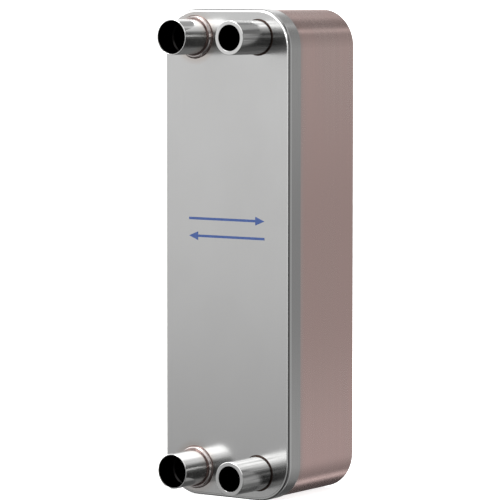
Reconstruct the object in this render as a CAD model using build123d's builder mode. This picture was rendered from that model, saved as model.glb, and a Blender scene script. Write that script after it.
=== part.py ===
"""Brazed plate heat exchanger: a stack of pressed, copper-brazed channel plates between
steel pressure plates, with a skirted front cover and four ports that face -Y.

Frame: millimetres, +Z up along the plates, origin at the centre of the flat back face,
-Y towards the ports, +Y out of the back.
"""

from math import cos, radians, tan
import os

from build123d import *

os.makedirs("parts", exist_ok=True)

# ---------------------------------------------------------------- driving dimensions
COVER_W = 191.0          # front cover, across the skirt
COVER_H = 616.0          # front cover, overall height
COVER_R = 48.0           # front cover corner radius
COVER_T = 1.0            # cover sheet
COVER_SKIRT = 25.0       # depth of the cover's folded skirt
COVER_EDGE_R = 4.0       # bend radius of the folded edge, outside

PRESSURE_T = 3.0         # front and back pressure plates
BACK_COVER_T = 3.0

SHEET_T = 0.4            # pressed channel sheet
PITCH = 2.56             # plate to plate
N_CHANNEL = 52           # channel plates
SKIRT_H = 6.0            # depth of each plate's flared skirt
FLARE = 10.5             # skirt flare, degrees from the stacking axis
STACK_GAP = 0.1          # stack to the inside of the cover's skirt
FILM_T = 0.06            # copper film between nested skirts

PORT_CX = 96.0           # port centres, across
PORT_CZ = 546.0          # port centres, up and down
PLATE_PORT_R = 19.0      # port holes in the channel plates
PORT_BOSS_R = 28.0       # pressed seal land round a closed port

RIB_W = 5.0              # chevron ridge width
RIB_PITCH = 22.0
RIB_COUNT = 19
RIB_HALF = 84.0          # half the width the ridges cover
RIB_RISE = 38.0          # rise of the chevron from edge to middle

SOCKET_LEN = 51.0        # left connections, mouth to front face
SOCKET_RO = 22.25
SOCKET_RI = 20.7         # takes 1 5/8 in (41.3 mm) copper pipe
SOCKET_DEPTH = 30.0      # to the pipe stop
SOCKET_STOP_R = 19.0
STUB_LEN = 62.0          # right connections, mouth to front face
STUB_RO = 21.2           # 1 1/4 in pipe, 42.4 mm
STUB_RI = 16.0
STUB_ROOT_RI = 15.4      # bore where the stub passes through the plates
STUB_ROOT_RO = 20.8      # spigot through the plates, and the relief at its root
FOOT_R = 25.6            # foot flange that keeps a connection behind the cover
FOOT_T = 1.4

COLLAR_RO = 26.4         # drawn steel collar round a solder socket
COLLAR_H = 4.6
STUB_GAP_R = 23.0        # cover hole round a stub

# ---------------------------------------------------------------- derived
TRAYS = N_CHANNEL + 2
DEPTH = COVER_T + PRESSURE_T + PITCH * (TRAYS - 1) + SHEET_T + PRESSURE_T + BACK_COVER_T
Y_FACE = -DEPTH                         # outer front face of the cover
Y_TRAY0 = Y_FACE + COVER_T + PRESSURE_T  # front sealing plate
TAN, COS = tan(radians(FLARE)), cos(radians(FLARE))
ENV_W = COVER_W - 2 * (COVER_T + STACK_GAP)
ENV_H = COVER_H - 2 * (COVER_T + STACK_GAP)
TRAY_W = ENV_W - 2 * SKIRT_H * TAN
TRAY_H = ENV_H - 2 * SKIRT_H * TAN
TRAY_R = COVER_R - COVER_T - STACK_GAP - SKIRT_H * TAN
INSET = SHEET_T * TAN - SHEET_T / COS   # inner wall against outer wall at the web's back
RIB_H = PITCH - SHEET_T

LEFT, RIGHT = -PORT_CX / 2, PORT_CX / 2
TOP, BOTTOM = PORT_CZ / 2, -PORT_CZ / 2
PORTS = {
    "top_left": (LEFT, TOP),
    "bottom_left": (LEFT, BOTTOM),
    "top_right": (RIGHT, TOP),
    "bottom_right": (RIGHT, BOTTOM),
}


def rearward(y):
    """Sketch plane at y whose extrusions run to +Y. Its local y is -Z."""
    return Plane(origin=(0, y, 0), x_dir=(1, 0, 0), z_dir=(0, 1, 0))


def port_locations(names):
    return [(PORTS[n][0], -PORTS[n][1]) for n in names]


def port_axis(name):
    x, z = PORTS[name]
    return Axis((x, 0, z), (0, 1, 0))


def port_plane(name):
    """Half-section plane of a port: local x is the radius, local y runs to +Y."""
    x, z = PORTS[name]
    return Plane(origin=(x, 0, z), x_dir=(1, 0, 0), z_dir=(0, 0, 1))


def tray(y, ports=(), lands=(), ribs=0):
    """One pressed plate with a flared skirt. ports: holes; lands: ports with a raised seal
    land on the back; ribs: +1 or -1 points the chevron ridges up or down."""
    with BuildPart() as plate:
        with BuildSketch(rearward(y)):
            RectangleRounded(TRAY_W, TRAY_H, TRAY_R)
        extrude(amount=SKIRT_H, taper=-FLARE)
        with BuildSketch(rearward(y + SHEET_T)):
            RectangleRounded(TRAY_W + 2 * INSET, TRAY_H + 2 * INSET, TRAY_R + INSET)
        extrude(amount=SKIRT_H - SHEET_T, taper=-FLARE, mode=Mode.SUBTRACT)
        if ribs or lands:
            with BuildSketch(rearward(y + SHEET_T)):
                if lands:
                    with Locations(*port_locations(lands)):
                        Circle(PORT_BOSS_R)
                for k in range(RIB_COUNT if ribs else 0):
                    z0 = (k - (RIB_COUNT - 1) / 2) * RIB_PITCH
                    up = -ribs * RIB_RISE / 2
                    with BuildLine():
                        Polyline(
                            (-RIB_HALF, z0 - up),
                            (0, z0 + up),
                            (RIB_HALF, z0 - up),
                            (RIB_HALF, z0 - up + RIB_W),
                            (0, z0 + up + RIB_W),
                            (-RIB_HALF, z0 - up + RIB_W),
                            close=True,
                        )
                    make_face()
            extrude(amount=RIB_H)
        if ports:
            with BuildSketch(rearward(y)):
                with Locations(*port_locations(ports)):
                    Circle(PLATE_PORT_R)
            extrude(amount=PITCH, mode=Mode.SUBTRACT)
    return plate.part


ALL = list(PORTS)
LEFT_PORTS = ["top_left", "bottom_left"]
RIGHT_PORTS = ["top_right", "bottom_right"]


def write(part, name):
    part.label = name
    export_step(part, f"parts/{name}.step")


# ---------------------------------------------------------------- front cover
with BuildPart() as front_cover_plate:
    with BuildSketch(rearward(Y_FACE)):
        RectangleRounded(COVER_W, COVER_H, COVER_R)
    extrude(amount=COVER_SKIRT)
    fillet(front_cover_plate.faces().sort_by(Axis.Y)[0].edges(), radius=COVER_EDGE_R)
    with BuildSketch(rearward(Y_FACE + COVER_T)):
        RectangleRounded(COVER_W - 2 * COVER_T, COVER_H - 2 * COVER_T, COVER_R - COVER_T)
    cavity = extrude(amount=COVER_SKIRT - COVER_T, mode=Mode.PRIVATE)
    cavity = cavity.fillet(COVER_EDGE_R - COVER_T, cavity.faces().sort_by(Axis.Y)[0].edges())
    add(cavity, mode=Mode.SUBTRACT)
    with BuildSketch(rearward(Y_FACE)):
        with Locations(*port_locations(LEFT_PORTS)):
            Circle(SOCKET_RO + 0.05)
        with Locations(*port_locations(RIGHT_PORTS)):
            Circle(STUB_GAP_R)
    extrude(amount=COVER_T, mode=Mode.SUBTRACT)
write(front_cover_plate.part, "front_cover_plate")

# ---------------------------------------------------------------- pressure plates
with BuildPart() as front_pressure_plate:
    with BuildSketch(rearward(Y_FACE + COVER_T)):
        RectangleRounded(COVER_W - 8.4, COVER_H - 8.4, COVER_R - 4.2)
    extrude(amount=PRESSURE_T)
    with BuildSketch(rearward(Y_FACE + COVER_T)):
        with Locations(*port_locations(ALL)):
            Circle(FOOT_R + 0.15)
    extrude(amount=FOOT_T + 0.1, mode=Mode.SUBTRACT)
    with BuildSketch(rearward(Y_FACE + COVER_T)):
        with Locations(*port_locations(LEFT_PORTS)):
            Circle(SOCKET_RO + 0.05)
        with Locations(*port_locations(RIGHT_PORTS)):
            Circle(STUB_ROOT_RO + 0.05)
    extrude(amount=PRESSURE_T, mode=Mode.SUBTRACT)
write(front_pressure_plate.part, "front_pressure_plate")

Y_LAST = Y_TRAY0 + PITCH * (TRAYS - 1)   # back sealing plate
BACK_W = TRAY_W + 2 * INSET - 0.5
BACK_H = TRAY_H + 2 * INSET - 0.5
with BuildPart() as back_pressure_plate:
    with BuildSketch(rearward(Y_LAST + SHEET_T)):
        RectangleRounded(BACK_W, BACK_H, TRAY_R + INSET - 0.25)
        with Locations(*port_locations(ALL)):
            Circle(PORT_BOSS_R, mode=Mode.SUBTRACT)
    extrude(amount=PRESSURE_T)
write(back_pressure_plate.part, "back_pressure_plate")

for name, (px, pz) in PORTS.items():
    with BuildPart() as port_blank_disc:
        with BuildSketch(rearward(Y_LAST + SHEET_T)):
            with Locations((px, -pz)):
                Circle(PORT_BOSS_R - 0.1)
        extrude(amount=PRESSURE_T)
    write(port_blank_disc.part, f"port_blank_disc_{name}")

with BuildPart() as back_cover_plate:
    with BuildSketch(rearward(Y_LAST + SHEET_T + PRESSURE_T)):
        RectangleRounded(BACK_W, BACK_H, TRAY_R + INSET - 0.25)
    extrude(amount=BACK_COVER_T)
    fillet(back_cover_plate.faces().sort_by(Axis.Y)[-1].edges(), radius=0.8)
write(back_cover_plate.part, "back_cover_plate")

# ---------------------------------------------------------------- pressed plates
front_sealing_plate = tray(Y_TRAY0, ports=ALL, lands=ALL)
write(front_sealing_plate, "front_sealing_plate")
back_sealing_plate = tray(Y_LAST)
write(back_sealing_plate, "back_sealing_plate")

# Two kinds of channel plate take turns: A closes the left ports behind it, B the right.
plate_a = tray(Y_TRAY0, ports=ALL, lands=LEFT_PORTS, ribs=1)
plate_b = tray(Y_TRAY0, ports=ALL, lands=RIGHT_PORTS, ribs=-1)
print("plate volumes", round(plate_a.volume), round(plate_b.volume))
channel_a = [Pos(0, PITCH * k, 0) * plate_a for k in range(1, N_CHANNEL + 1, 2)]
channel_b = [Pos(0, PITCH * k, 0) * plate_b for k in range(2, N_CHANNEL + 1, 2)]
write(Compound(children=[Compound(p.wrapped) for p in channel_a]), "channel_plates_a")
write(Compound(children=[Compound(p.wrapped) for p in channel_b]), "channel_plates_b")

# Copper film that the brazing foil leaves between two nested skirts.
SEAM_GAP = PITCH * TAN - SHEET_T / COS       # across, between the skirts
FILM = FILM_T / COS
SEAM_SIDE = (SEAM_GAP - FILM) / 2            # left clear on each side
with BuildPart() as seam:
    grow = 2 * (SEAM_SIDE + FILM)
    with BuildSketch(rearward(Y_TRAY0 + PITCH)):
        RectangleRounded(TRAY_W + grow, TRAY_H + grow, TRAY_R + grow / 2)
    extrude(amount=SKIRT_H - PITCH - 0.15, taper=-FLARE)
    grow = 2 * SEAM_SIDE
    with BuildSketch(rearward(Y_TRAY0 + PITCH)):
        RectangleRounded(TRAY_W + grow, TRAY_H + grow, TRAY_R + grow / 2)
    extrude(amount=SKIRT_H - PITCH - 0.15, taper=-FLARE, mode=Mode.SUBTRACT)
seams = [Pos(0, PITCH * k, 0) * seam.part for k in range(TRAYS - 1)]
write(Compound(children=[Compound(p.wrapped) for p in seams]), "copper_braze_seams")

# ---------------------------------------------------------------- left: solder sockets
Y_END = Y_FACE + COVER_T + PRESSURE_T
for name in LEFT_PORTS:
    with BuildPart() as socket:
        with BuildSketch(port_plane(name)):
            with BuildLine():
                Polyline(
                    (SOCKET_RI + 0.5, Y_FACE - SOCKET_LEN),
                    (SOCKET_RO - 0.4, Y_FACE - SOCKET_LEN),
                    (SOCKET_RO, Y_FACE - SOCKET_LEN + 0.4),
                    (SOCKET_RO, Y_FACE + COVER_T),
                    (FOOT_R, Y_FACE + COVER_T),
                    (FOOT_R, Y_FACE + COVER_T + FOOT_T),
                    (SOCKET_RO, Y_FACE + COVER_T + FOOT_T),
                    (SOCKET_RO, Y_END),
                    (SOCKET_STOP_R, Y_END),
                    (SOCKET_STOP_R, Y_FACE - SOCKET_LEN + SOCKET_DEPTH + 1.2),
                    (SOCKET_RI, Y_FACE - SOCKET_LEN + SOCKET_DEPTH),
                    (SOCKET_RI, Y_FACE - SOCKET_LEN + 0.5),
                    close=True,
                )
            make_face()
        revolve(axis=port_axis(name))
    write(socket.part, f"solder_socket_{name}")

    # Steel collar drawn up round the socket, slightly coned, with a rolled lip.
    with BuildPart() as collar:
        with BuildSketch(port_plane(name)):
            with BuildLine():
                Polyline(
                    (SOCKET_RO + 0.05, Y_FACE),
                    (COLLAR_RO, Y_FACE),
                    (COLLAR_RO - 0.5, Y_FACE - COLLAR_H + 1.2),
                    (COLLAR_RO - 1.5, Y_FACE - COLLAR_H),
                    (COLLAR_RO - 2.4, Y_FACE - COLLAR_H),
                    (SOCKET_RO + 1.3, Y_FACE - COLLAR_H + 1.4),
                    (SOCKET_RO + 0.05, Y_FACE - COLLAR_H + 1.4),
                    close=True,
                )
            make_face()
        revolve(axis=port_axis(name))
    write(collar.part, f"socket_collar_{name}")

    # Copper in the groove between collar and socket.
    with BuildPart() as braze_ring:
        with BuildSketch(port_plane(name)):
            with BuildLine():
                y0 = Y_FACE - COLLAR_H + 1.4
                Polyline(
                    (SOCKET_RO, y0 - 2.2),
                    (SOCKET_RO, y0),
                    (SOCKET_RO + 1.25, y0),
                    (COLLAR_RO - 2.5, Y_FACE - COLLAR_H + 0.1),
                )
                ThreePointArc(
                    (COLLAR_RO - 2.5, Y_FACE - COLLAR_H + 0.1),
                    (SOCKET_RO + 0.65, y0 - 1.15),
                    (SOCKET_RO, y0 - 2.2),
                )
            make_face()
        revolve(axis=port_axis(name))
    write(braze_ring.part, f"braze_ring_{name}")

    # Copper fillet that ran out round the collar's foot.
    with BuildPart() as braze_fillet:
        with BuildSketch(port_plane(name)):
            with BuildLine():
                Polyline(
                    (COLLAR_RO - 0.13, Y_FACE - 1.4),
                    (COLLAR_RO + 0.02, Y_FACE),
                    (COLLAR_RO + 1.9, Y_FACE),
                )
                ThreePointArc(
                    (COLLAR_RO + 1.9, Y_FACE),
                    (COLLAR_RO + 0.55, Y_FACE - 0.6),
                    (COLLAR_RO - 0.13, Y_FACE - 1.4),
                )
            make_face()
        revolve(axis=port_axis(name))
    write(braze_fillet.part, f"braze_fillet_{name}")

# ---------------------------------------------------------------- right: thick-walled stubs
for name in RIGHT_PORTS:
    with BuildPart() as stub:
        with BuildSketch(port_plane(name)):
            with BuildLine():
                Polyline(
                    (STUB_RI + 0.4, Y_FACE - STUB_LEN),
                    (STUB_RO - 0.6, Y_FACE - STUB_LEN),
                    (STUB_RO, Y_FACE - STUB_LEN + 0.6),
                    (STUB_RO, Y_FACE - 1.0),
                    (STUB_ROOT_RO, Y_FACE - 0.6),
                    (STUB_ROOT_RO, Y_FACE + COVER_T),
                    (FOOT_R, Y_FACE + COVER_T),
                    (FOOT_R, Y_FACE + COVER_T + FOOT_T),
                    (STUB_ROOT_RO, Y_FACE + COVER_T + FOOT_T),
                    (STUB_ROOT_RO, Y_END),
                    (STUB_ROOT_RI, Y_END),
                    (STUB_ROOT_RI, Y_FACE - 2.0),
                    (STUB_RI, Y_FACE - 2.6),
                    (STUB_RI, Y_FACE - STUB_LEN + 0.4),
                    close=True,
                )
            make_face()
        revolve(axis=port_axis(name))
    write(stub.part, f"pipe_stub_{name}")

    # Copper left in the bottom of the gap between stub and cover.
    with BuildPart() as stub_ring:
        with BuildSketch(port_plane(name)):
            with BuildLine():
                Polyline(
                    (STUB_ROOT_RO, Y_FACE + 0.45),
                    (STUB_ROOT_RO, Y_FACE + COVER_T),
                    (STUB_GAP_R, Y_FACE + COVER_T),
                    (STUB_GAP_R, Y_FACE + 0.75),
                    close=True,
                )
            make_face()
        revolve(axis=port_axis(name))
    write(stub_ring.part, f"braze_ring_{name}")

print("depth", round(DEPTH, 2), "front face y", round(Y_FACE, 2))
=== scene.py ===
import math

import bmesh
import bpy
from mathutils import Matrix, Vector


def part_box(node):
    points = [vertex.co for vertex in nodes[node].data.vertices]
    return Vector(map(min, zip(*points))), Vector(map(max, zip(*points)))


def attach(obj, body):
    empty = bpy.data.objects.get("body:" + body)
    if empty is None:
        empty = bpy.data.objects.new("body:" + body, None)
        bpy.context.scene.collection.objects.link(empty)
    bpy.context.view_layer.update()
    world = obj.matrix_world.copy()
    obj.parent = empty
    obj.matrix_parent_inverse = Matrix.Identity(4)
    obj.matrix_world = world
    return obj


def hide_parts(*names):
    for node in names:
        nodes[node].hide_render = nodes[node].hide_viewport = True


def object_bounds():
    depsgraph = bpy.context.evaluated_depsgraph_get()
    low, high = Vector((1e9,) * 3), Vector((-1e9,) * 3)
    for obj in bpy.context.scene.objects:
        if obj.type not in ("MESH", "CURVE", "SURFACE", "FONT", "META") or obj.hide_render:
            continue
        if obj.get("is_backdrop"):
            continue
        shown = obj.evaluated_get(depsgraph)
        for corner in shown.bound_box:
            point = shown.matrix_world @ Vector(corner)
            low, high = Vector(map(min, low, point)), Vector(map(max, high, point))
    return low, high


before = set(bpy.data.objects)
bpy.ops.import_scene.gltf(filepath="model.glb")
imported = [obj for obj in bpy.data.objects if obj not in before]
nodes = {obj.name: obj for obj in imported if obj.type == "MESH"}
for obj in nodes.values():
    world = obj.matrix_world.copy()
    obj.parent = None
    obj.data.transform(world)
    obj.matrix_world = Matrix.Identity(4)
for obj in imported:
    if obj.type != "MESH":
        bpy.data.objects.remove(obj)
cad_lo, cad_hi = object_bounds()
scene = bpy.context.scene

# ------------------------------------------------------------------ places, from the CAD
cover_lo, cover_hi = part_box("front_cover_plate")
Y_FACE = cover_lo.y
PORTS = {}
for port in ("top_left", "bottom_left"):
    lo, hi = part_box("solder_socket_" + port)
    PORTS[port] = ((lo.x + hi.x) / 2, (lo.z + hi.z) / 2, lo.y)
for port in ("top_right", "bottom_right"):
    lo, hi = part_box("pipe_stub_" + port)
    PORTS[port] = ((lo.x + hi.x) / 2, (lo.z + hi.z) / 2, lo.y)
PORT_X = abs(PORTS["top_left"][0])
PORT_Z = abs(PORTS["top_left"][1])


# ------------------------------------------------------------------ node material helpers
class Nodes:
    """A small builder for one material's node tree."""

    def __init__(self, name):
        self.mat = bpy.data.materials.new(name)
        self.mat.use_nodes = True
        self.t = self.mat.node_tree
        self.t.nodes.clear()
        self.out = self.t.nodes.new("ShaderNodeOutputMaterial")
        self.bsdf = self.t.nodes.new("ShaderNodeBsdfPrincipled")
        self.t.links.new(self.bsdf.outputs[0], self.out.inputs[0])
        self.coord = self.t.nodes.new("ShaderNodeTexCoord").outputs["Object"]

    def set(self, **values):
        for key, value in values.items():
            self.bsdf.inputs[key.replace("_", " ")].default_value = value

    def link(self, a, b):
        self.t.links.new(a, b)

    def put(self, socket, value):
        if isinstance(value, bpy.types.NodeSocket):
            self.link(value, socket)
        else:
            socket.default_value = value

    def math(self, op, a, b=0.0, c=0.0, clamp=False):
        n = self.t.nodes.new("ShaderNodeMath")
        n.operation = op
        n.use_clamp = clamp
        self.put(n.inputs[0], a)
        self.put(n.inputs[1], b)
        if op in ("MULTIPLY_ADD", "SMOOTH_MIN", "SMOOTH_MAX"):
            self.put(n.inputs[2], c)
        return n.outputs[0]

    def xyz(self):
        n = self.t.nodes.new("ShaderNodeSeparateXYZ")
        self.link(self.coord, n.inputs[0])
        return n.outputs

    def scaled(self, x, y, z):
        n = self.t.nodes.new("ShaderNodeMapping")
        self.link(self.coord, n.inputs["Vector"])
        n.inputs["Scale"].default_value = (x, y, z)
        return n.outputs[0]

    def noise(self, vector, scale, detail=3.0, rough=0.5, distortion=0.0):
        n = self.t.nodes.new("ShaderNodeTexNoise")
        self.link(vector, n.inputs["Vector"])
        n.inputs["Scale"].default_value = scale
        n.inputs["Detail"].default_value = detail
        n.inputs["Roughness"].default_value = rough
        n.inputs["Distortion"].default_value = distortion
        return n.outputs["Fac"]

    def span(self, value, a, b, c=0.0, d=1.0, smooth=False):
        n = self.t.nodes.new("ShaderNodeMapRange")
        if smooth:
            n.interpolation_type = "SMOOTHSTEP"
        self.link(value, n.inputs["Value"])
        n.inputs["From Min"].default_value = a
        n.inputs["From Max"].default_value = b
        self.put(n.inputs["To Min"], c)
        self.put(n.inputs["To Max"], d)
        return n.outputs[0]

    def mix(self, fac, a, b, blend="MIX"):
        n = self.t.nodes.new("ShaderNodeMix")
        n.data_type = "RGBA"
        n.blend_type = blend
        n.clamp_result = True
        self.put(n.inputs[0], fac)
        for socket, v in ((n.inputs[6], a), (n.inputs[7], b)):
            self.put(socket, v if isinstance(v, bpy.types.NodeSocket) else (*v, 1.0))
        return n.outputs[2]

    def bump(self, height, strength, distance, normal=None):
        n = self.t.nodes.new("ShaderNodeBump")
        n.inputs["Strength"].default_value = strength
        n.inputs["Distance"].default_value = distance
        self.link(height, n.inputs["Height"])
        if normal is not None:
            self.link(normal, n.inputs["Normal"])
        return n.outputs[0]

    def port_radius(self):
        """Distance from the nearest port axis."""
        s = self.xyz()
        dx = self.math("SUBTRACT", self.math("ABSOLUTE", s[0]), PORT_X)
        dz = self.math("SUBTRACT", self.math("ABSOLUTE", s[2]), PORT_Z)
        return self.math("SQRT", self.math("ADD", self.math("MULTIPLY", dx, dx), self.math("MULTIPLY", dz, dz)))


def cover_steel():
    """Drawn stainless cover: fine lines along its height, faint smudges, heat tint round the brazed collars; painted
    highlight on the edge fillet, painted shade in its bend and on the skirt at mid-height.
    """
    m = Nodes("cover_steel")
    s = m.xyz()
    lines = m.noise(m.scaled(1.0, 1.0, 0.012), 1500.0, 3.0, 0.6)
    broad = m.noise(m.scaled(1.0, 1.0, 0.25), 22.0, 3.0, 0.5)
    smudge = m.noise(m.coord, 9.0, 4.0, 0.55, 0.4)
    base = m.mix(m.span(lines, 0.3, 0.7), (0.622, 0.622, 0.620), (0.648, 0.648, 0.645))
    base = m.mix(m.span(broad, 0.35, 0.7, 0.0, 0.3), base, (0.620, 0.619, 0.616))
    base = m.mix(m.span(smudge, 0.45, 0.75, 0.0, 0.25), base, (0.59, 0.588, 0.583))
    # painted highlight: a lighter base on the front of the edge fillet
    edge = m.math("MULTIPLY", m.span(s[1], Y_FACE + 0.00002, Y_FACE + 0.0001), m.span(s[1], Y_FACE + 0.0006, Y_FACE + 0.0004))
    base = m.mix(edge, base, (0.88, 0.88, 0.875))
    # painted shade: a dark base in the bend of the edge fillet
    painted_bend_shade = m.math("MULTIPLY", m.span(s[1], Y_FACE + 0.0006, Y_FACE + 0.0009), m.span(s[1], Y_FACE + 0.0030, Y_FACE + 0.0022))
    base = m.mix(painted_bend_shade, base, (0.24, 0.24, 0.238))
    skirt = m.span(s[1], Y_FACE + 0.0035, Y_FACE + 0.006, 0.0, 1.0, True)
    # painted shade: the skirt darker at mid-height
    painted_midheight_shade = m.math("MULTIPLY", m.span(s[2], 0.24, 0.02, 0.0, 1.0, True), m.span(s[2], -0.22, -0.07, 0.0, 1.0, True))
    side = m.mix(m.span(lines, 0.3, 0.7), (0.41, 0.408, 0.403), (0.47, 0.468, 0.462))
    base = m.mix(skirt, base, m.mix(painted_midheight_shade, side, (0.365, 0.362, 0.360)))
    r = m.port_radius()
    left = m.span(s[0], -0.002, 0.002, 1.0, 0.0)
    halo = m.math("MULTIPLY", m.span(r, 0.0275, 0.0375, 1.0, 0.0, True), left)
    halo = m.math("MULTIPLY", halo, m.span(smudge, 0.3, 0.7, 0.25, 0.75))
    base = m.mix(halo, base, (0.56, 0.50, 0.46))
    m.link(base, m.bsdf.inputs["Base Color"])
    rough = m.math("ADD", m.span(lines, 0.25, 0.75, 0.15, 0.18), m.span(smudge, 0.4, 0.8, 0.0, 0.05))
    m.link(m.math("ADD", rough, m.span(s[1], Y_FACE + 0.004, Y_FACE + 0.008, 0.0, 0.04)), m.bsdf.inputs["Roughness"])
    m.set(Metallic=1.0)
    normal = m.bump(lines, 0.05, 0.00004)
    m.link(m.bump(m.noise(m.scaled(1.0, 1.0, 0.5), 14.0, 1.0), 0.15, 0.0004, normal), m.bsdf.inputs["Normal"])
    return m.mat


def plain_steel(name, low, high, rough):
    """Pressed or rolled sheet."""
    m = Nodes(name)
    a = m.noise(m.scaled(1.0, 1.0, 0.03), 900.0, 3.0, 0.6)
    b = m.noise(m.coord, 12.0, 4.0, 0.6, 0.6)
    base = m.mix(m.span(a, 0.3, 0.7), low, high)
    base = m.mix(m.span(b, 0.45, 0.75, 0.0, 0.4), base, tuple(0.85 * c for c in low))
    m.link(base, m.bsdf.inputs["Base Color"])
    m.link(m.math("ADD", m.span(a, 0.25, 0.75, rough - 0.04, rough + 0.04), m.span(b, 0.4, 0.8, 0.0, 0.1)), m.bsdf.inputs["Roughness"])
    m.set(Metallic=1.0)
    m.link(m.bump(a, 0.12, 0.00008), m.bsdf.inputs["Normal"])
    return m.mat


def coppered_plate():
    """Stainless sheet with a thin flow of braze copper: each plate a shade of its own, pinker where the copper
    pooled; painted shade makes the stack darker at mid-height.
    """
    m = Nodes("coppered_plate")
    s = m.xyz()
    number = m.math("FLOOR", m.math("MULTIPLY", m.math("SUBTRACT", s[1], Y_FACE + 0.004 + 0.0024), 1 / 0.00256))
    white = m.t.nodes.new("ShaderNodeTexWhiteNoise")
    white.noise_dimensions = "1D"
    m.link(number, white.inputs["W"])
    shade = white.outputs["Value"]
    streak = m.noise(m.scaled(1.0, 1.0, 0.04), 260.0, 3.0, 0.55)
    pool = m.noise(m.scaled(1.0, 1.0, 0.35), 14.0, 4.0, 0.6, 0.8)
    fine = m.noise(m.coord, 700.0, 2.0, 0.6)
    base = m.mix(shade, (0.590, 0.450, 0.425), (0.625, 0.478, 0.450))
    base = m.mix(m.span(pool, 0.42, 0.72, 0.0, 0.65), base, (0.640, 0.455, 0.425))
    base = m.mix(m.span(streak, 0.5, 0.8, 0.0, 0.25), base, (0.55, 0.435, 0.412))
    low = m.span(s[2], -0.05, -0.30, 0.0, 0.45)
    base = m.mix(low, base, (0.655, 0.455, 0.440))
    # painted shade: the plate edges darker at mid-height
    painted_midheight_shade = m.math("MULTIPLY", m.span(s[2], 0.26, 0.03, 0.0, 0.8, True), m.span(s[2], -0.24, -0.08, 0.0, 1.0, True))
    base = m.mix(painted_midheight_shade, base, (0.510, 0.372, 0.350))
    base = m.mix(m.span(s[1], Y_FACE + 0.026, Y_FACE + 0.037, 0.75, 0.0, True), base, (0.500, 0.425, 0.408))
    m.link(base, m.bsdf.inputs["Base Color"])
    rough = m.math("ADD", m.span(pool, 0.3, 0.8, 0.26, 0.21), m.span(fine, 0.3, 0.7, -0.02, 0.04))
    m.link(rough, m.bsdf.inputs["Roughness"])
    m.set(Metallic=1.0)
    normal = m.bump(fine, 0.12, 0.00008)
    m.link(m.bump(pool, 0.2, 0.0004, normal), m.bsdf.inputs["Normal"])
    return m.mat


def braze_copper():
    """Copper filler as it froze: bright and lumpy, with painted shade making it near-black at the outer rim of its
    run and in the groove by the socket.
    """
    m = Nodes("braze_copper")
    lump = m.noise(m.coord, 220.0, 3.0, 0.55, 0.5)
    fine = m.noise(m.coord, 1500.0, 2.0, 0.5)
    r = m.port_radius()
    base = m.mix(m.span(lump, 0.35, 0.7), (0.30, 0.22, 0.20), (0.48, 0.40, 0.38))
    # painted shade: near-black at the outer rim of the run and in the groove by the socket
    base = m.mix(m.span(r, 0.0262, 0.0267, 0.0, 0.92, True), base, (0.085, 0.058, 0.052))
    base = m.mix(m.span(r, 0.0242, 0.0236, 0.0, 0.9, True), base, (0.10, 0.066, 0.060))
    m.link(base, m.bsdf.inputs["Base Color"])
    m.link(m.span(lump, 0.3, 0.75, 0.18, 0.36), m.bsdf.inputs["Roughness"])
    m.set(Metallic=1.0)
    normal = m.bump(lump, 0.45, 0.0004)
    m.link(m.bump(fine, 0.15, 0.0001, normal), m.bsdf.inputs["Normal"])
    return m.mat


def tube_steel(name, bore, mouth, rough, band, light):
    """Turned tube: fine rings round it, painted light on the end face at the mouth, and painted shade: a near-black
    base below radius bore.
    """
    m = Nodes(name)
    s = m.xyz()
    r = m.port_radius()
    rings = m.noise(m.scaled(0.02, 1.0, 0.02), 2600.0, 3.0, 0.6)
    along = m.noise(m.scaled(1.0, 0.03, 1.0), 230.0, 3.0, 0.5)
    haze = m.noise(m.coord, 60.0, 3.0, 0.5)
    base = m.mix(m.span(rings, 0.3, 0.7), tuple(0.9 * c for c in light), light)
    base = m.mix(m.span(along, 0.42, 0.62, 0.0, band), base, tuple(0.45 * c for c in light))
    # painted light: the end face at the mouth lighter than the tube
    face = m.span(s[1], mouth + 0.0007, mouth + 0.0004, 0.0, 1.0)
    base = m.mix(face, base, (0.70, 0.70, 0.695))
    # painted shade: a near-black base within the bore
    painted_bore_shade = m.span(r, bore + 0.0001, bore + 0.0005, 1.0, 0.0)
    base = m.mix(painted_bore_shade, base, (0.016, 0.015, 0.015))
    m.link(base, m.bsdf.inputs["Base Color"])
    rr = m.math("ADD", m.span(rings, 0.3, 0.7, rough - 0.02, rough + 0.04), m.span(haze, 0.4, 0.8, 0.0, 0.05))
    m.link(m.math("ADD", rr, m.math("MULTIPLY", painted_bore_shade, 0.1)), m.bsdf.inputs["Roughness"])
    m.set(Metallic=1.0)
    m.link(m.bump(rings, 0.10, 0.00005), m.bsdf.inputs["Normal"])
    return m.mat


def printed_ink():
    """Pad-printed blue ink, a little uneven."""
    m = Nodes("printed_ink")
    n = m.noise(m.coord, 900.0, 3.0, 0.6)
    m.link(m.mix(m.span(n, 0.35, 0.7), (0.012, 0.034, 0.130), (0.030, 0.065, 0.200)), m.bsdf.inputs["Base Color"])
    m.link(m.span(n, 0.3, 0.7, 0.35, 0.5), m.bsdf.inputs["Roughness"])
    m.set(Metallic=0.0)
    return m.mat


COVER = cover_steel()
INNER = plain_steel("inner_steel", (0.48, 0.475, 0.47), (0.56, 0.555, 0.55), 0.32)
BACK = plain_steel("back_steel", (0.55, 0.547, 0.54), (0.62, 0.617, 0.61), 0.28)
PLATE = coppered_plate()
BRAZE = braze_copper()
SOCKET = tube_steel("socket_steel", 0.0207, PORTS["top_left"][2], 0.10, 0.10, (0.62, 0.62, 0.615))
STUB = tube_steel("stub_steel", 0.0160, PORTS["top_right"][2], 0.17, 0.85, (0.54, 0.54, 0.535))
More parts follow.
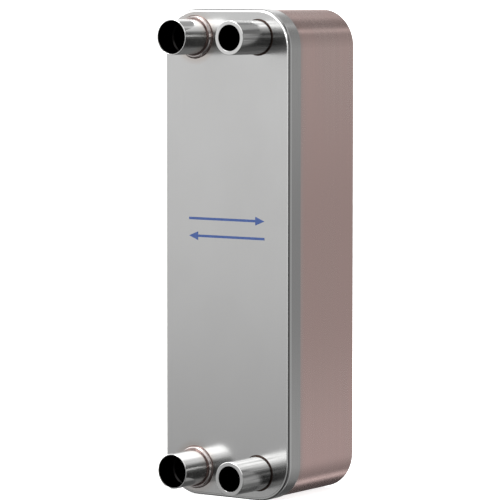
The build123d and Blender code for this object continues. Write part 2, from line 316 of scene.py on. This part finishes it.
# painted shade: near-black copper on the right braze rings, standing for the shadowed gap at the stub's foot
GAP_SHADE_MAT = plain_steel("painted_gap_shade", (0.05, 0.035, 0.03), (0.08, 0.055, 0.045), 0.4)
COLLAR = plain_steel("collar_copper", (0.46, 0.42, 0.41), (0.56, 0.515, 0.505), 0.16)
INK = printed_ink()


def dress(name, mat):
    o = nodes[name]
    o.data.materials.clear()
    o.data.materials.append(mat)


for name in nodes:
    if name == "front_cover_plate":
        dress(name, COVER)
    elif name == "back_cover_plate":
        dress(name, BACK)
    elif name.startswith(("channel_plates", "back_sealing")):
        dress(name, PLATE)
    elif name.startswith("socket_collar"):
        dress(name, COLLAR)
    elif name in ("braze_ring_top_right", "braze_ring_bottom_right"):
        dress(name, GAP_SHADE_MAT)
    elif name.startswith(("copper_braze", "braze_")):
        dress(name, BRAZE)
    elif name.startswith("solder_socket"):
        dress(name, SOCKET)
    elif name.startswith("pipe_stub"):
        dress(name, STUB)
    else:
        dress(name, INNER)


# ------------------------------------------------------------------ pieces built here
def add_piece(name, bm, mat, replaces=()):
    bmesh.ops.recalc_face_normals(bm, faces=bm.faces)
    mesh = bpy.data.meshes.new(name)
    bm.to_mesh(mesh)
    bm.free()
    o = bpy.data.objects.new(name, mesh)
    scene.collection.objects.link(o)
    mesh.materials.append(mat)
    for p in mesh.polygons:
        p.use_smooth = True
    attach(o, "root")
    if replaces:
        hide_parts(*replaces)
    return o


def wobble(angle, seed, size):
    return size * (
        0.50 * math.sin(3 * angle + seed)
        + 0.30 * math.sin(7 * angle + 2.1 * seed)
        + 0.22 * math.sin(13 * angle + 3.7 * seed)
        + 0.12 * math.sin(29 * angle + 5.3 * seed)
    )


def swept_ring(name, port, section, mat, replaces, steps=144):
    """A closed ring round a port whose section, a function of the angle, gives (r, y) points."""
    cx, cz, _ = PORTS[port]
    bm = bmesh.new()
    loops = []
    for k in range(steps):
        a = 2 * math.pi * k / steps
        loops.append([bm.verts.new((cx + r * math.cos(a), y, cz + r * math.sin(a))) for r, y in section(a)])
    for k in range(steps):
        p, q = loops[k], loops[(k + 1) % steps]
        for j in range(len(p)):
            i = (j + 1) % len(p)
            bm.faces.new((p[j], p[i], q[i], q[j]))
    return add_piece(name, bm, mat, replaces)


def foot_section(seed):
    """Copper that ran out round the collar's foot, with a wandering edge."""
    def section(a):
        reach = 0.0274 + wobble(a, seed, 0.0005)
        climb = 0.0013 + wobble(a, seed + 1.7, 0.0004)
        inner = 0.0263
        pts = [(inner, Y_FACE + 0.0001), (inner, Y_FACE - climb)]
        for k in range(1, 8):
            t = k / 8
            r = inner + (reach - inner) * t
            pts.append((r, Y_FACE - climb * (1 - t) ** 2.2 - 0.00012 * (1 - t)))
        pts.append((reach, Y_FACE - 0.00005))
        pts.append((reach - 0.0001, Y_FACE + 0.0001))
        return pts
    return section


def groove_section(seed):
    """Copper in the groove between collar and socket, drawn up the tube."""
    top = Y_FACE - 0.0046
    def section(a):
        climb = 0.0022 + wobble(a, seed, 0.0008)
        outer = 0.0240 + wobble(a, seed + 2.3, 0.0002)
        pts = [(0.02222, top + 0.0014), (0.02222, top - climb)]
        for k in range(1, 8):
            t = k / 8
            pts.append((0.02222 + (outer - 0.02222) * t, top - climb * (1 - t) ** 2.0 - 0.0001 * (1 - t)))
        pts.append((outer, top + 0.00002))
        pts.append((outer - 0.0004, top + 0.0014))
        return pts
    return section


for port, seed in (("top_left", 0.6), ("bottom_left", 2.9)):
    swept_ring("copper_run_" + port, port, foot_section(seed), BRAZE, ["braze_fillet_" + port])
    swept_ring("copper_ring_" + port, port, groove_section(seed + 4.0), BRAZE, ["braze_ring_" + port])


def flow_arrow(name, cx, cz, length, direction):
    """A printed arrow along x: a thin closed plate standing 0.15 mm off the cover's face."""
    h, head, wide = 0.0016, 0.014, 0.0055
    x0, x1 = -length / 2, length / 2
    outline = [(x0, -h), (x1 - head, -h), (x1 - head, -wide), (x1, 0), (x1 - head, wide), (x1 - head, h), (x0, h)]
    bm = bmesh.new()
    front = [bm.verts.new((cx + direction * x, Y_FACE - 0.00015, cz + z)) for x, z in outline]
    back = [bm.verts.new((cx + direction * x, Y_FACE + 0.0001, cz + z)) for x, z in outline]
    bm.faces.new(front)
    bm.faces.new(back[::-1])
    for k in range(len(outline)):
        j = (k + 1) % len(outline)
        bm.faces.new((front[k], front[j], back[j], back[k]))
    o = add_piece(name, bm, INK)
    for p in o.data.polygons:
        p.use_smooth = False
    return o


flow_arrow("flow_arrow_upper", 0.000, 0.044, 0.116, 1)
flow_arrow("flow_arrow_lower", 0.000, 0.022, 0.116, -1)

# ------------------------------------------------------------------ floor
FLOOR_Z = cad_lo.z
bpy.ops.mesh.primitive_plane_add(size=400, location=(0, 0, FLOOR_Z))
floor = bpy.context.object
floor.name = "floor"
fm = Nodes("floor_paper")
fm.link(fm.mix(fm.noise(fm.coord, 3.0, 2.0), (0.90, 0.90, 0.90), (0.92, 0.92, 0.92)), fm.bsdf.inputs["Base Color"])
fm.set(Roughness=0.9)
fm.bsdf.inputs["Emission Color"].default_value = (1.0, 1.0, 1.0, 1.0)
fm.bsdf.inputs["Emission Strength"].default_value = 0.8
floor.data.materials.append(fm.mat)
floor.visible_glossy = False
floor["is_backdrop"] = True

# ------------------------------------------------------------------ soft studio light
world = bpy.data.worlds.new("studio")
scene.world = world
world.use_nodes = True
wt = world.node_tree
wt.nodes.clear()
w_out = wt.nodes.new("ShaderNodeOutputWorld")
w_bg = wt.nodes.new("ShaderNodeBackground")
w_sep = wt.nodes.new("ShaderNodeSeparateXYZ")
wt.links.new(wt.nodes.new("ShaderNodeTexCoord").outputs["Generated"], w_sep.inputs[0])
wt.links.new(w_bg.outputs[0], w_out.inputs[0])


def w_math(op, a, b=0.0):
    n = wt.nodes.new("ShaderNodeMath")
    n.operation = op
    for socket, v in zip(n.inputs, (a, b)):
        if isinstance(v, bpy.types.NodeSocket):
            wt.links.new(v, socket)
        else:
            socket.default_value = v
    return n.outputs[0]


def w_step(value, a, b):
    n = wt.nodes.new("ShaderNodeMapRange")
    n.interpolation_type = "SMOOTHSTEP"
    wt.links.new(value, n.inputs["Value"])
    n.inputs["From Min"].default_value = a
    n.inputs["From Max"].default_value = b
    return n.outputs[0]


def w_profile(stops):
    """Brightness by height above the horizon: stops are (sine of the elevation, brightness)."""
    n = wt.nodes.new("ShaderNodeValToRGB")
    wt.links.new(w_math("MULTIPLY_ADD", w_sep.outputs[2], 0.5), n.inputs[0])
    n.inputs[0].links[0].from_node.inputs[2].default_value = 0.5
    e = n.color_ramp.elements
    while len(e) > 1:
        e.remove(e[-1])
    e[0].position, e[0].color = (stops[0][0] + 1) / 2, (stops[0][1] / 4,) * 3 + (1.0,)
    for z, v in stops[1:]:
        k = e.new((z + 1) / 2)
        k.color = (v / 4,) * 3 + (1.0,)
    return w_math("MULTIPLY", n.outputs[0], 4.0)


def w_blend(fac, a, b):
    return w_math("ADD", w_math("MULTIPLY", a, w_math("SUBTRACT", 1.0, fac)), w_math("MULTIPLY", b, fac))


FRONT = [(-1.0, 0.36), (-0.48, 0.42), (-0.30, 0.28), (-0.20, 0.31), (-0.15, 0.53), (-0.10, 0.90), (-0.05, 1.05), (0.05, 1.11), (0.22, 1.15), (0.34, 3.6), (0.62, 3.8), (0.80, 2.6), (1.0, 2.0)]
CAMERA_SIDE = [(-1.0, 0.06), (-0.30, 0.07), (-0.03, 0.12), (0.00, 0.80), (0.03, 0.80), (0.06, 0.14), (0.30, 0.30), (0.42, 1.9), (1.0, 2.0)]
RIGHT = [(-1.0, 0.16), (-0.60, 0.40), (-0.25, 0.70), (-0.14, 0.80), (-0.09, 0.58), (-0.03, 0.72), (0.10, 0.62), (0.49, 0.46), (0.53, 1.15), (0.57, 1.15), (0.61, 0.34), (0.77, 0.34), (0.84, 0.9), (0.90, 2.0), (1.0, 2.0)]
LEFT = [(-1.0, 0.12), (-0.50, 0.14), (-0.20, 0.50), (0.00, 0.90), (0.30, 1.70), (0.44, 1.70), (0.52, 0.62), (0.80, 0.62), (0.90, 2.0), (1.0, 2.0)]
azimuth = w_math("ARCTAN2", w_sep.outputs[0], w_math("MULTIPLY", w_sep.outputs[1], -1.0))


def w_window(value, a, b, c, d):
    return w_math("MULTIPLY", w_step(value, a, b), w_step(value, d, c))


level = w_blend(w_step(azimuth, math.radians(6), math.radians(18)), w_profile(FRONT), w_profile(CAMERA_SIDE))
level = w_blend(w_step(azimuth, math.radians(50), math.radians(64)), level, w_profile(RIGHT))
left = w_math("MAXIMUM", w_step(azimuth, math.radians(-95), math.radians(-115)), w_step(azimuth, math.radians(164), math.radians(174)))
level = w_blend(left, level, w_profile(LEFT))
strip = w_math("MULTIPLY", w_window(azimuth, math.radians(146), math.radians(151), math.radians(159), math.radians(164)), w_step(w_sep.outputs[2], -0.58, -0.66))
level = w_math("ADD", level, w_math("MULTIPLY", strip, 1.1))
wt.links.new(level, w_bg.inputs["Strength"])


def softbox(name, place, target, width, height, power, camera=False):
    light = bpy.data.lights.new(name, "AREA")
    light.shape = "RECTANGLE"
    light.size, light.size_y = width, height
    light.energy = power
    o = bpy.data.objects.new(name, light)
    scene.collection.objects.link(o)
    o.location = place
    o.rotation_mode = "QUATERNION"
    o.rotation_quaternion = (Vector(target) - Vector(place)).to_track_quat("-Z", "Y")
    o.visible_camera = camera
    return o


softbox("box_top", (-0.5, -0.7, 2.2), (0, -0.15, 0), 1.0, 1.0, 22)

# ------------------------------------------------------------------ camera
YAW, PITCH, DIST = math.radians(35.0), math.radians(4.56), 4.071
target = Vector((0.036, Y_FACE, FLOOR_Z + 0.3155))
back = Vector((math.sin(YAW) * math.cos(PITCH), -math.cos(YAW) * math.cos(PITCH), math.sin(PITCH)))
cam_data = bpy.data.cameras.new("camera")
cam_data.sensor_width = 36.0
cam_data.lens = 234.4
cam_data.clip_start, cam_data.clip_end = 0.05, 1000.0
cam_data.dof.use_dof = False
cam = bpy.data.objects.new("camera", cam_data)
scene.collection.objects.link(cam)
cam.location = target + back * DIST
cam.rotation_mode = "QUATERNION"
cam.rotation_quaternion = (-back).to_track_quat("-Z", "Y")
scene.camera = cam

scene.view_settings.view_transform = "Standard"

lo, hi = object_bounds()
